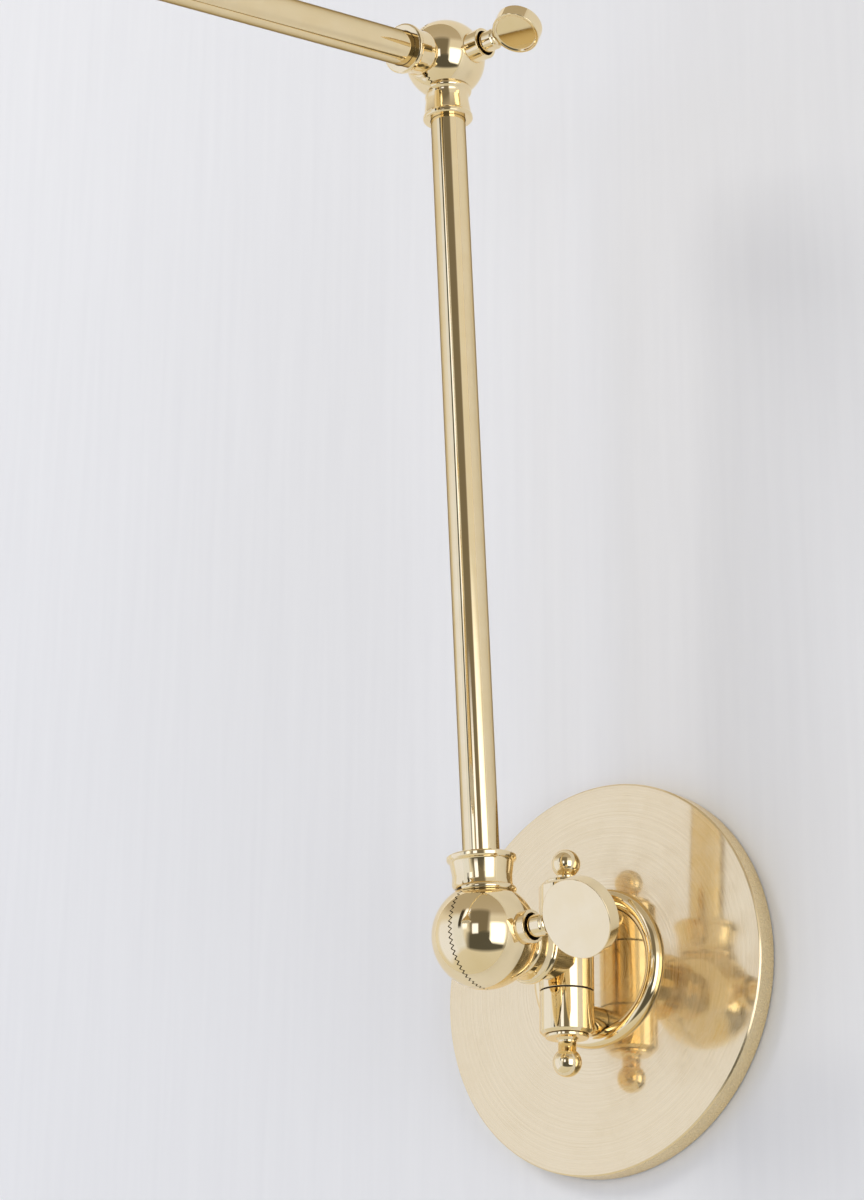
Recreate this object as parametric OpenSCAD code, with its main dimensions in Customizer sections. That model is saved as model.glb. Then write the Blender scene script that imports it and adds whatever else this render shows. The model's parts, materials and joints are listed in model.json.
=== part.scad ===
// Swing arm wall sconce in brass. A round wall plate carries a barrel of three sleeves. The middle
// sleeve turns and holds the lower knuckle, and two tube arms and a shaded lamp head follow it, each
// on a split ball that a thumb key locks.
// Millimetres, +Z up. The origin is on the wall, at the centre of the plate's back, and the lamp
// reaches away from the wall along -Y. Every knuckle hinges about an axis parallel to X.

/* [Wall plate] */
// Diameter of the wall plate
plate_d = 139.7; // [130:0.1:180]
// Depth of the wall plate, from the wall to its front face
plate_t = 8; // [7.5:0.5:12]
// Outer diameter of the half-round ring on the plate
ring_d = 56.8; // [54:0.2:62]
// Width of the half-round ring
ring_w = 6.4; // [5:0.2:7]
// Distance between the two slots that take the wall box screws
box_spacing = 88.9; // [80:0.1:95]

/* [Swivel barrel] */
// Height of the middle of the barrel above the centre of the plate
hub_z = 3.0; // [0:0.1:5]
// Distance from the wall to the axis of the barrel
hub_out = 25.9; // [24:0.1:30]
// Diameter of the three sleeves
sleeve_d = 19.05; // [18:0.05:21]
// Length of the middle sleeve, which turns
swivel_len = 22.4; // [20:0.2:26]
// Length of each fixed sleeve
fixed_len = 15.0; // [14:0.2:18]
// Diameter of the two ball finials
finial_d = 10.1; // [9:0.1:12]
// Distance from the middle of the barrel to the centre of the top finial ball
top_reach = 34.4; // [34:0.1:38]
// Distance from the middle of the barrel to the centre of the bottom finial ball
bottom_reach = 36.3; // [34:0.1:38]
// Diameter of the two studs that hold the barrel off the plate
stud_d = 10.2; // [9:0.1:11]

/* [Knuckles] */
// Distance from the axis of the barrel to the centre of the lower knuckle
stub_len = 44; // [42:0.5:60]
// Diameter of the lower knuckle ball
lower_ball_d = 36.4; // [36:0.1:40]
// Diameter of the upper and head knuckle balls
upper_ball_d = 29.4; // [28.5:0.1:32]
// Diameter of the lower key's paddle
lower_paddle_d = 27.1; // [24:0.1:30]
// Diameter of the upper and head keys' paddles
upper_paddle_d = 17.4; // [15:0.1:22]
// Turn of the lower key about its screw, in degrees
lower_key_turn = 27; // [0:1:180]
// Turn of the upper key about its screw, in degrees
upper_key_turn = 63; // [0:1:180]
// Turn of the head key about its screw, in degrees
head_key_turn = 75; // [0:1:180]

/* [Arms] */
// Outer diameter of the arm tubes
tube_d = 12.7; // [12:0.1:13]
// Wall thickness of the arm tubes
tube_wall = 1.2; // [0.8:0.1:2]
// Distance between the centres of the lower and upper knuckles
lower_arm = 327.5; // [200:0.5:500]
// Distance between the centres of the upper and head knuckles
upper_arm = 330; // [200:1:500]
// Lean of the lower arm away from the wall, in degrees
lean = 4.1; // [0:0.1:15]
// Dip of the upper arm below level, in degrees
dip = 12.7; // [-20:0.1:15]

/* [Lamp head] */
// Diameter of the mouth of the shade
shade_d = 140; // [130:1:180]
// Height of the shade, from the socket cup to its mouth
shade_h = 83; // [75:1:100]
// Diameter of the socket cup
cup_d = 39; // [38:0.5:44]
// Diameter of the glass globe of the bulb
globe_d = 45; // [40:1:50]

/* [Hidden] */

// clearances: between pieces of one body, on a running fit, and between two knuckle bodies
fit = 0.02;
run = 0.05;
body_gap = 0.35;

plate_r = plate_d / 2;
plate_face_t = 3;
plate_rim_t = 4;
disc_t = 1;
disc_r = ring_d / 2 - ring_w - 0.05;

bracket_t = 2;
bracket_r = 59;
bracket_hole_r = 31;
tab_t = 2.5;
tab_w = 16;
tab_depth = 4.7;
grub_r = 2;
grub_tip_r = 1.2;
// the grub screws stand at the top and at the left of the plate's rim
grub_turns = [0, -90];
slot_r = 2.3;
slot_len = 12;

sleeve_r = sleeve_d / 2;
pivot_r = 4.85;
pivot_bore_r = 3;
seam = 0.5;
washer_t = 0.4;
washer_r = sleeve_r - 0.55;
fixed_z = swivel_len / 2 + seam;
barrel_half = fixed_z + fixed_len;
cap_t = 1.2;
cap_r = 7.5;
finial_neck_r = 3.2;
finial_spigot = 5.5;

stud_r = stud_d / 2;
stud_z = fixed_z + fixed_len / 2;
stud_thread_r = 3;
nut_af = 10;
nut_t = 2.1;
lead_r = 1.9;
lead_bore_r = 2.8;
supply_r = 1.5;
supply_bore_r = 1.9;

neck_r = 8.6;
stub_collar_top = 26;
ball_wall = 3.2;
boss_r = 6.2;
seam_half = 0.15;
spigot_r = 4.5;
screw_r = 3;
ferrule_r = 5.75;
ferrule_bore_r = 4.6;
lower_ferrule_len = 4;
upper_ferrule_len = 5.8;
shank_r = 3.85;
tang_r = 1.7;
tang_in = 4.5;
lower_paddle_t = 5.5;
upper_paddle_t = 5.2;

lower_r = lower_ball_d / 2;
upper_r = upper_ball_d / 2;
tube_r = tube_d / 2;
seat = 2.5;
lower_collar_top = 27.8;
upper_collar_top = 24.6;

cup_r = cup_d / 2;
cup_wall = 1.2;
cup_z = upper_collar_top;
cup_len = 42.4;
shade_z = cup_z + cup_len;
shade_t = 1;
shade_top_r = 24;
holder_r = cup_r - cup_wall - 0.1;
skirt_r = holder_r - 1;
shade_hole_r = skirt_r + 0.3;
lock_ring_r = skirt_r + 4;
shell_r = 13.6;
bulb_cap_r = 12.9;
globe_r = globe_d / 2;
glass_t = 0.8;

// knuckle centres
joint_1 = [0, -hub_out - stub_len, hub_z];
joint_2 = joint_1 + lower_arm * [0, -sin(lean), cos(lean)];
joint_3 = joint_2 + upper_arm * [0, -cos(dip), -sin(dip)];

brass = [0.83, 0.73, 0.50];
satin_brass = [0.80, 0.71, 0.52];
steel = [0.62, 0.63, 0.65];
nickel = [0.78, 0.77, 0.74];
porcelain = [0.93, 0.92, 0.88];
cable = [0.88, 0.80, 0.60];

$fn = 96;

// ---------------------------------------------------------------- frames

// local +Z points away from the wall, and local Z = 0 is the wall
module on_wall() {
    rotate([90, 0, 0]) children();
}

module at_hub() {
    translate([0, -hub_out, hub_z]) children();
}

// each knuckle frame has its centre at the origin and its arm along local +Z
module stub_frame() {
    translate(joint_1) rotate([-90, 0, 0]) children();
}

module lower_foot_frame() {
    translate(joint_1) rotate([lean, 0, 0]) children();
}

module lower_top_frame() {
    translate(joint_2) rotate([180 + lean, 0, 0]) children();
}

module upper_foot_frame() {
    translate(joint_2) rotate([90 + dip, 0, 0]) children();
}

module upper_end_frame() {
    translate(joint_3) rotate([dip - 90, 0, 0]) children();
}

module head_frame() {
    translate(joint_3) rotate([180, 0, 0]) children();
}

// local +Z runs out along the key's screw, and local -Y is the front of the paddle
module key_frame(centre, turn) {
    translate(centre) rotate([turn, 0, 0]) rotate([0, 90, 0]) children();
}

// ---------------------------------------------------------------- shared shapes

module ring(outer_r, inner_r, h) {
    difference() {
        cylinder(r = outer_r, h = h);
        translate([0, 0, -1]) cylinder(r = inner_r, h = h + 2);
    }
}

module rod(r, from_z, to_z) {
    translate([0, 0, from_z]) cylinder(r = r, h = to_z - from_z);
}

// one half of a knuckle ball: a shell with a boss for the screw and a notch under its own collar
module half_ball(ball_r, side) {
    difference() {
        rotate([0, 90 * side, 0]) rotate_extrude() {
            if (side > 0) clearance_half_profile(ball_r);
            else threaded_half_profile(ball_r);
        }
        rod(spigot_r + fit, ball_r - ball_wall - 1, ball_r + 2);
    }
}

module half_profile(ball_r) {
    difference() {
        intersection() {
            circle(ball_r);
            translate([0, seam_half]) square(ball_r);
        }
        intersection() {
            circle(ball_r - ball_wall);
            translate([boss_r, 0]) square(ball_r);
        }
    }
}

// the left half: the screw's thread ends inside it
module threaded_half_profile(ball_r) {
    difference() {
        half_profile(ball_r);
        square([screw_r + run, ball_r - 4]);
    }
}

// the right half: the screw passes through, and the ferrule stands on a spot face
module clearance_half_profile(ball_r) {
    difference() {
        half_profile(ball_r);
        square([screw_r + 0.4, ball_r + 1]);
        translate([0, spot_face(ball_r)]) square([ferrule_r + fit, ball_r]);
    }
}

function spot_face(ball_r) = sqrt(ball_r * ball_r - ferrule_r * ferrule_r);

// a turned collar with a bead near the ball, a waist and a flange. Its underside follows the ball at
// a small gap, and a half-round spigot joins it to its own half of the ball.
module collar(ball_r, side, bead_r, waist_r, flange_r, flange_h, top_z, bore_r) {
    rotate_extrude() collar_profile(ball_r, bead_r, waist_r, flange_r, flange_h, top_z, bore_r);
    intersection() {
        difference() {
            rod(spigot_r, ball_r - ball_wall, ball_r + seat - 0.5);
            rod(lead_bore_r, ball_r - ball_wall - 1, ball_r + seat);
        }
        translate([side > 0 ? seam_half + fit : -20 - seam_half - fit, -10, 0]) cube([20, 20, 60]);
    }
}

module collar_profile(ball_r, bead_r, waist_r, flange_r, flange_h, top_z, bore_r) {
    bead_h = 2.6;
    foot_z = sqrt(pow(ball_r + body_gap, 2) - pow(bead_r - bead_h / 2, 2));
    difference() {
        union() {
            square([waist_r, top_z]);
            translate([bead_r - bead_h / 2, foot_z + bead_h / 2]) circle(d = bead_h);
            translate([0, foot_z]) square([bead_r - bead_h / 2, bead_h]);
            translate([0, top_z - flange_h]) square([flange_r - 0.5, flange_h]);
            translate([0, top_z - flange_h + 0.5]) square([flange_r, flange_h - 1]);
        }
        circle(ball_r + body_gap);
        translate([0, ball_r + seat]) square([bore_r + fit, top_z]);
        square([lead_bore_r, top_z + 1]);
    }
}

module lower_collar(side, top_z) {
    collar(lower_r, side, 11.6, 10.4, 12, 3, top_z, tube_r);
}

module upper_collar(side) {
    collar(upper_r, side, 9.1, 7.9, 9.1, 2.8, upper_collar_top, tube_r);
}

module ferrule(centre, ball_r, length) {
    translate(centre) rotate([0, 90, 0])
        translate([0, 0, spot_face(ball_r)]) ring(ferrule_r, ferrule_bore_r, length);
}

function paddle_reach(ball_r) = ball_r > 17 ? 41.5 : 34.6;

// the key's screw: thread, shoulder, barrel and the tang that is fixed in the paddle
module key_screw(ball_r, paddle_r) {
    shoulder_z = spot_face(ball_r) + 0.3;
    edge_z = paddle_reach(ball_r) - paddle_r - 0.1;
    rod(screw_r, 6 - ball_r, shoulder_z);
    rod(shank_r, shoulder_z, edge_z - 1.5);
    translate([0, 0, edge_z - 1.5]) cylinder(r1 = shank_r, r2 = 2.4, h = 1.5);
    rod(tang_r, edge_z, edge_z + tang_in);
}

module key_paddle(ball_r, paddle_r, paddle_t, dish) {
    reach = paddle_reach(ball_r);
    difference() {
        translate([0, 0, reach]) rotate([90, 0, 0]) rotate_extrude() paddle_profile(paddle_r, paddle_t, dish);
        rod(tang_r + fit, reach - paddle_r - 1, reach - paddle_r + tang_in);
    }
}

module paddle_profile(paddle_r, paddle_t, dish) {
    edge = 0.4;
    half = paddle_t / 2;
    polygon([
        [0, -half + dish], [paddle_r - 1, -half + dish], [paddle_r - 0.8, -half], [paddle_r - edge, -half],
        [paddle_r, -half + edge], [paddle_r, half - edge], [paddle_r - edge, half], [paddle_r - 0.8, half],
        [paddle_r - 1, half - dish], [0, half - dish]
    ]);
}

// ---------------------------------------------------------------- fixed to the wall

module backplate() {
    color(satin_brass) difference() {
        on_wall() rotate_extrude() plate_profile();
        for (side = [-1, 1])
            translate([0, 0, hub_z + side * stud_z]) rotate([90, 0, 0]) rod(stud_thread_r + fit, 0, plate_t + 1);
        for (turn = grub_turns) rotate([0, turn, 0]) translate([0, -plate_t / 2, 0])
            rod(grub_r + fit, bracket_r, plate_r + 2);
    }
}

module plate_profile() {
    edge = 0.6;
    polygon([
        [0, plate_t], [plate_r - edge, plate_t], [plate_r, plate_t - edge], [plate_r, 0],
        [plate_r - plate_rim_t, 0], [plate_r - plate_rim_t, plate_t - plate_face_t],
        [0, plate_t - plate_face_t]
    ]);
}

// the ring's inner edge is notched where the two studs stand
module ring_bead() {
    color(brass) translate([0, 0, hub_z]) on_wall() difference() {
        rotate_extrude() translate([(ring_d - ring_w) / 2, plate_t + fit]) intersection() {
            circle(d = ring_w);
            translate([-ring_w, 0]) square([2 * ring_w, ring_w]);
        }
        for (side = [-1, 1]) translate([0, side * stud_z, 0]) rod(stud_r + fit, plate_t, plate_t + ring_w);
    }
}

module centre_disc() {
    color(brass) translate([0, 0, hub_z]) on_wall() difference() {
        rod(disc_r, plate_t + fit, plate_t + disc_t);
        for (side = [-1, 1])
            translate([0, side * stud_z, 0]) rod(stud_thread_r + fit, 0, plate_t + 5);
    }
}

module wall_bracket() {
    color(steel) difference() {
        union() {
            on_wall() ring(bracket_r, bracket_hole_r, bracket_t);
            for (turn = grub_turns) rotate([0, turn, 0]) translate([-tab_w / 2, 0, 0]) {
                translate([0, -bracket_t, bracket_r - 4]) cube([tab_w, bracket_t, 4 + tab_t]);
                translate([0, -tab_depth, bracket_r]) cube([tab_w, tab_depth, tab_t]);
            }
        }
        for (side = [-1, 1])
            translate([0, 0, side * box_spacing / 2]) on_wall() wall_slot();
        for (turn = grub_turns)
            rotate([0, turn, 0]) translate([0, -plate_t / 2, bracket_r - 3]) rod(grub_tip_r + 0.15, 0, 8);
        translate([-45, 0, 0]) on_wall() rod(1.6, -1, bracket_t + 1);
    }
}

// a slot that runs up and down, with round ends
module wall_slot() {
    straight = slot_len / 2 - slot_r;
    for (end = [-1, 1]) translate([0, end * straight, 0]) rod(slot_r, -1, bracket_t + 1);
    translate([-slot_r, -straight, -1]) cube([2 * slot_r, 2 * straight, bracket_t + 2]);
}

module grub_screws() {
    color(steel) for (turn = grub_turns) rotate([0, turn, 0]) translate([0, -plate_t / 2, 0]) difference() {
        union() {
            rod(grub_r, bracket_r + tab_t + fit, plate_r - 0.4);
            rod(grub_tip_r, bracket_r + 0.5, bracket_r + tab_t + 0.1);
        }
        translate([0, 0, plate_r - 2.4]) cylinder(r = 1.15, h = 3, $fn = 6);
    }
}

module earth_screw() {
    color([0.35, 0.55, 0.35]) translate([-45, 0, 0]) on_wall() {
        rod(1.55, 0.2, bracket_t + fit);
        rod(3.2, bracket_t + fit, bracket_t + 2);
    }
}

// a stud, coped to the sleeve at its front end and threaded through the plate at its back end
module stud(side) {
    color(brass) difference() {
        translate([0, 0, hub_z + side * stud_z]) on_wall() {
            rod(stud_r, plate_t + disc_t + fit, hub_out);
            rod(stud_thread_r, plate_t - plate_face_t - nut_t - 0.2, plate_t + disc_t + 1);
        }
        at_hub() rod(sleeve_r + fit, -60, 60);
        if (side > 0)
            translate([0, 0, hub_z + stud_z]) on_wall() rod(supply_bore_r, 0, hub_out);
    }
}

module stud_top() {
    stud(1);
}

module stud_bottom() {
    stud(-1);
}

module stud_nuts() {
    color(steel) for (side = [-1, 1]) translate([0, 0, hub_z + side * stud_z]) on_wall() difference() {
        translate([0, 0, plate_t - plate_face_t - nut_t - fit]) cylinder(d = nut_af / cos(30), h = nut_t, $fn = 6);
        rod(stud_thread_r + fit, 0, plate_t);
    }
}

module fixed_sleeve() {
    chamfer = 1;
    rotate_extrude() polygon([
        [pivot_r + fit, 0], [sleeve_r, 0], [sleeve_r, fixed_len - chamfer],
        [sleeve_r - chamfer, fixed_len], [pivot_r + fit, fixed_len]
    ]);
}

module sleeve_top() {
    color(brass) at_hub() difference() {
        translate([0, 0, fixed_z]) fixed_sleeve();
        translate([0, 0, stud_z]) rotate([-90, 0, 0]) rod(supply_bore_r, 0, hub_out);
    }
}

module sleeve_bottom() {
    color(brass) at_hub() mirror([0, 0, 1]) translate([0, 0, fixed_z]) fixed_sleeve();
}

module swivel_washers() {
    color([0.2, 0.17, 0.1]) at_hub() for (side = [0, 1]) mirror([0, 0, side])
        translate([0, 0, fixed_z - washer_t - fit]) ring(washer_r, pivot_r + fit, washer_t);
}

// the hollow pin that the middle sleeve turns on, with a window in front for the lead
module pivot_tube() {
    color(brass) at_hub() difference() {
        translate([0, 0, -barrel_half]) ring(pivot_r, pivot_bore_r, 2 * barrel_half);
        translate([-10, -10, -3]) cube([20, 10, 6]);
        translate([0, 0, stud_z]) rotate([-90, 0, 0]) rod(supply_bore_r, 0, hub_out);
    }
}

module cap_washers() {
    color(brass) at_hub() for (side = [0, 1]) mirror([0, 0, side])
        translate([0, 0, barrel_half + fit]) ring(cap_r, finial_neck_r, cap_t);
}

module finial(reach) {
    color(brass) {
        translate([0, 0, reach]) sphere(d = finial_d);
        rod(finial_neck_r - fit, barrel_half + fit, reach);
        rod(pivot_bore_r - fit, barrel_half - finial_spigot, barrel_half + 1);
    }
}

module finial_top() {
    at_hub() finial(top_reach);
}

module finial_bottom() {
    at_hub() mirror([0, 0, 1]) finial(bottom_reach);
}

// the lead from the wall box, through the top stud and down inside the pivot
module supply_lead() {
    color(cable) {
        translate([0, 0, hub_z + stud_z]) on_wall() rod(supply_r, 0.3, hub_out);
        at_hub() translate([0, 0, stud_z]) sphere(r = supply_r);
        at_hub() rod(supply_r, 0, stud_z);
    }
}

// ---------------------------------------------------------------- turns with the middle sleeve

module swivel_sleeve() {
    color(brass) at_hub() difference() {
        translate([0, 0, -swivel_len / 2]) ring(sleeve_r, pivot_r + run, swivel_len);
        on_wall() rod(lead_bore_r, 0, sleeve_r + 1);
    }
}

module stub_neck() {
    collar_face = stub_len - stub_collar_top;
    color(brass) at_hub() difference() {
        on_wall() {
            rod(neck_r, 0, collar_face - fit);
            rod(tube_r, 0, stub_len - lower_r - seat - fit);
        }
        rod(sleeve_r + fit, -30, 30);
        on_wall() rod(lead_bore_r, 0, stub_len);
    }
}

module stub_collar() {
    color(brass) stub_frame() lower_collar(-1, stub_collar_top);
}

module stub_lead() {
    color(cable) at_hub() on_wall() rod(lead_r, pivot_r + 1, stub_len - lower_r - 0.6);
}

module lower_ball_left() {
    color(brass) stub_frame() half_ball(lower_r, -1);
}

// ---------------------------------------------------------------- lower arm and its key

module lower_key_screw() {
    color(brass) key_frame(joint_1, lower_key_turn) key_screw(lower_r, lower_paddle_d / 2);
}

module lower_key_paddle() {
    color(brass) key_frame(joint_1, lower_key_turn)
        key_paddle(lower_r, lower_paddle_d / 2, lower_paddle_t, 0);
}

module lower_ball_right() {
    color(brass) lower_foot_frame() half_ball(lower_r, 1);
}

module lower_ferrule() {
    color(brass) ferrule(joint_1, lower_r, lower_ferrule_len);
}

module lower_arm_foot() {
    color(brass) lower_foot_frame() lower_collar(1, lower_collar_top);
}

module arm_tube(length, near_r, far_r) {
    translate([0, 0, near_r + seat + fit])
        ring(tube_r, tube_r - tube_wall, length - near_r - far_r - 2 * (seat + fit));
}

module lower_tube() {
    color(brass) lower_foot_frame() arm_tube(lower_arm, lower_r, upper_r);
}

module lower_lead() {
    color(cable) lower_foot_frame() rod(lead_r, lower_r + 0.6, lower_arm - upper_r - 0.6);
}

module lower_arm_top() {
    color(brass) lower_top_frame() upper_collar(1);
}

module upper_ball_right() {
    color(brass) lower_top_frame() half_ball(upper_r, 1);
}

module upper_ferrule() {
    color(brass) ferrule(joint_2, upper_r, upper_ferrule_len);
}

// ---------------------------------------------------------------- upper arm and its key

module upper_key_screw() {
    color(brass) key_frame(joint_2, upper_key_turn) key_screw(upper_r, upper_paddle_d / 2);
}

module upper_key_paddle() {
    color(brass) key_frame(joint_2, upper_key_turn)
        key_paddle(upper_r, upper_paddle_d / 2, upper_paddle_t, 0.5);
}

module upper_ball_left() {
    color(brass) upper_foot_frame() half_ball(upper_r, -1);
}

module upper_arm_foot() {
    color(brass) upper_foot_frame() upper_collar(-1);
}

module upper_tube() {
    color(brass) upper_foot_frame() arm_tube(upper_arm, upper_r, upper_r);
}

module upper_lead() {
    color(cable) upper_foot_frame() rod(lead_r, upper_r + 0.6, upper_arm - upper_r - 0.6);
}

module upper_arm_end() {
    color(brass) upper_end_frame() upper_collar(-1);
}

module head_ball_left() {
    color(brass) upper_end_frame() half_ball(upper_r, -1);
}

// ---------------------------------------------------------------- lamp head and its key

module head_key_screw() {
    color(brass) key_frame(joint_3, head_key_turn) key_screw(upper_r, upper_paddle_d / 2);
}

module head_key_paddle() {
    color(brass) key_frame(joint_3, head_key_turn)
        key_paddle(upper_r, upper_paddle_d / 2, upper_paddle_t, 0.5);
}

module head_ball_right() {
    color(brass) head_frame() half_ball(upper_r, 1);
}

module head_ferrule() {
    color(brass) ferrule(joint_3, upper_r, upper_ferrule_len);
}

module head_collar() {
    color(brass) head_frame() upper_collar(1);
}

// a turned cup with a spigot that sits in the collar
module socket_cup() {
    color(brass) head_frame() rotate_extrude() polygon([
        [lead_bore_r, upper_r + seat + fit], [tube_r, upper_r + seat + fit], [tube_r, cup_z + fit],
        [9, cup_z + fit], [9, cup_z + 3], [10.5, cup_z + 5.5], [cup_r - 1.5, cup_z + 10], [cup_r, cup_z + 13],
        [cup_r, shade_z - fit], [cup_r - cup_wall, shade_z - fit], [cup_r - cup_wall, cup_z + 14],
        [9, cup_z + 9], [lead_bore_r, cup_z + 6]
    ]);
}

module head_lead() {
    color(cable) head_frame() rod(lead_r, upper_r + 0.6, cup_z + 15.3);
}

// the insulating body, with a recess for the screw shell and a threaded skirt for the shade ring
module lampholder() {
    color(porcelain) head_frame() rotate_extrude() polygon([
        [0, cup_z + 15.4], [holder_r, cup_z + 15.4], [holder_r, shade_z - 0.1], [skirt_r, shade_z - 0.1],
        [skirt_r, shade_z + 9], [shell_r + fit, shade_z + 9], [shell_r + fit, cup_z + 21], [0, cup_z + 21]
    ]);
}

module screw_shell() {
    color(nickel) head_frame() translate([0, 0, cup_z + 21 + fit])
        ring(shell_r, shell_r - 0.4, shade_z - cup_z - 16);
}

module centre_contact() {
    color(nickel) head_frame() rod(3, cup_z + 21 + fit, cup_z + 23);
}

module shade_ring() {
    color(brass) head_frame() translate([0, 0, shade_z + shade_t + 2 * fit]) ring(lock_ring_r, skirt_r + fit, 4);
}

// a spun cone: a flat top that its ring clamps, straight sides and a rolled bead at the mouth
module shade() {
    color(brass) head_frame() rotate_extrude() translate([0, shade_z]) shade_profile();
}

module shade_profile() {
    mouth_r = shade_d / 2;
    bead_r = 1.5;
    slope = (mouth_r - shade_top_r) / shade_h;
    side_w = shade_t * sqrt(1 + slope * slope);
    polygon([
        [shade_hole_r, 0], [shade_top_r, 0], [mouth_r, shade_h], [mouth_r - side_w, shade_h],
        [shade_top_r + slope * shade_t - side_w, shade_t], [shade_hole_r, shade_t]
    ]);
    translate([mouth_r - side_w / 2, shade_h - bead_r]) circle(bead_r);
}

// a thin screw cap with its contact, open towards the glass
module bulb_cap() {
    color(nickel) head_frame() rotate_extrude() polygon([
        [0, cup_z + 23 + fit], [4.5, cup_z + 23 + fit], [4.5, cup_z + 26], [bulb_cap_r, cup_z + 26],
        [bulb_cap_r, shade_z + 10], [bulb_cap_r - 0.6, shade_z + 10], [bulb_cap_r - 0.6, cup_z + 26.6],
        [0, cup_z + 26.6]
    ]);
}

// a blown globe whose neck stands on the cap
module bulb_glass() {
    color([0.97, 0.96, 0.92]) head_frame() rotate_extrude() difference() {
        bulb_outline(0);
        bulb_outline(glass_t);
    }
}

module bulb_outline(inset) {
    neck_z = shade_z + 10 + fit;
    intersection() {
        union() {
            translate([0, neck_z + 10 + globe_r * 0.8]) circle(globe_r - inset);
            polygon([
                [0, neck_z], [bulb_cap_r - inset, neck_z], [globe_r * 0.75 - inset, neck_z + 14],
                [0, neck_z + 14]
            ]);
        }
        translate([0, neck_z]) square([globe_r, 3 * globe_r]);
    }
}

backplate();
ring_bead();
centre_disc();
wall_bracket();
grub_screws();
earth_screw();
stud_top();
stud_bottom();
stud_nuts();
sleeve_top();
sleeve_bottom();
swivel_washers();
pivot_tube();
cap_washers();
finial_top();
finial_bottom();
supply_lead();
swivel_sleeve();
stub_neck();
stub_collar();
stub_lead();
lower_ball_left();
lower_key_screw();
lower_key_paddle();
lower_ball_right();
lower_ferrule();
lower_arm_foot();
lower_tube();
lower_arm_top();
lower_lead();
upper_ball_right();
upper_ferrule();
upper_key_screw();
upper_key_paddle();
upper_ball_left();
upper_arm_foot();
upper_tube();
upper_arm_end();
upper_lead();
head_ball_left();
head_key_screw();
head_key_paddle();
head_ball_right();
head_ferrule();
head_collar();
socket_cup();
head_lead();
lampholder();
screw_shell();
centre_contact();
shade_ring();
shade();
bulb_cap();
bulb_glass();
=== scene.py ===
"""Looks of the swing arm wall sconce: turned brass pieces, materials, the wall, the light and the camera."""
import json
import math
import random

import bpy
from mathutils import Matrix, Vector

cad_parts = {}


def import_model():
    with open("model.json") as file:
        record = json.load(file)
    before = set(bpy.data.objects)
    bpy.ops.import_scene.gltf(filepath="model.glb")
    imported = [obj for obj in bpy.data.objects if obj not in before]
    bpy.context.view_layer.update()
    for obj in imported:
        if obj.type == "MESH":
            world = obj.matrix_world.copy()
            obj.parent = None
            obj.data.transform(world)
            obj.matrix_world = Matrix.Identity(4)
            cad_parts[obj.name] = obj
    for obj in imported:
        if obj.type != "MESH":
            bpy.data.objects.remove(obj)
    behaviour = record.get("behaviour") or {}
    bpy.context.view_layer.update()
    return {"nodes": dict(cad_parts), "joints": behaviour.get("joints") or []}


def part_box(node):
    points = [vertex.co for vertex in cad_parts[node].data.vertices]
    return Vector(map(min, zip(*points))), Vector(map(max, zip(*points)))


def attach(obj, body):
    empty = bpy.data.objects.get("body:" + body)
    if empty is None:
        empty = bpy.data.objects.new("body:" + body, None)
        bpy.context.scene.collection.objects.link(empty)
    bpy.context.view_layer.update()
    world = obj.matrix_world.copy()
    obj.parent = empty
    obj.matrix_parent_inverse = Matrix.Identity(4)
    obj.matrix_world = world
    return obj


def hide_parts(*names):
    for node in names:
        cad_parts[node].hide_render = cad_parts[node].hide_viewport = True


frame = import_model()
nodes = frame["nodes"]
joint = {j["name"]: Vector(j["pos_m"]) * 1000 for j in frame["joints"]}

# knuckle centres in millimetres, and the directions of the two arms
HUB = joint["wall_swivel"]
LOWER = joint["lower_tilt"]
UPPER = joint["upper_tilt"]
HEAD = joint["head_tilt"]
LOWER_ARM = (UPPER - LOWER).normalized()
UPPER_ARM = (HEAD - UPPER).normalized()
X = Vector((1, 0, 0))
Y = Vector((0, 1, 0))
Z = Vector((0, 0, 1))
TEETH = 60
STEPS = 192


def box(node):
    """Lowest and highest corner of a CAD node, in millimetres."""
    low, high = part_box(node)
    return low * 1000, high * 1000


def facing(node):
    """Normal of the largest flat face of a CAD node."""
    return max(nodes[node].data.polygons, key=lambda face: face.area).normal.copy()


# ---------------------------------------------------------------- turned shapes


def corner_arc(before, here, after, radius):
    """Points and normals of a round of the given radius at a corner of an outline."""
    d0 = Vector((here[0] - before[0], here[1] - before[1])).normalized()
    d1 = Vector((after[0] - here[0], after[1] - here[1])).normalized()
    turn = math.atan2(d0.x * d1.y - d0.y * d1.x, d0.dot(d1))
    cut = radius * math.tan(abs(turn) / 2)
    side = 1 if turn > 0 else -1
    start = Vector((here[0], here[1])) - d0 * cut
    spoke = Vector((d0.y, -d0.x)) * radius * side
    centre = start - spoke
    count = max(3, math.ceil(abs(turn) / math.radians(11)))
    made = []
    for k in range(count + 1):
        a = turn * k / count
        sine, cosine = math.sin(a), math.cos(a)
        turned = Vector((spoke.x * cosine - spoke.y * sine, spoke.x * sine + spoke.y * cosine))
        at = centre + turned
        normal = turned / radius * side
        made.append((at.x, at.y, normal.x, normal.y))
    return made


def outline(corners):
    """Outline of a turned piece from (radius, height[, rounding]) corners, with the solid on their left."""
    made = []
    for i, c in enumerate(corners):
        if len(c) == 3 and c[2] > 0:
            made += corner_arc(corners[i - 1], c, corners[(i + 1) % len(corners)], c[2])
        elif len(c) == 4:
            made.append(c)
        else:
            made.append((c[0], c[1], None, None))
    return made


def ball_arc(radius, start, end, count, centre=0.0, side=1):
    """Points on a sphere, from one angle above its equator to another. side is -1 for a hollow."""
    made = []
    for k in range(count + 1):
        a = math.radians(start + (end - start) * k / count)
        sine, cosine = math.sin(a), math.cos(a)
        made.append((radius * cosine, centre + radius * sine, side * cosine, side * sine))
    return made


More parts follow.
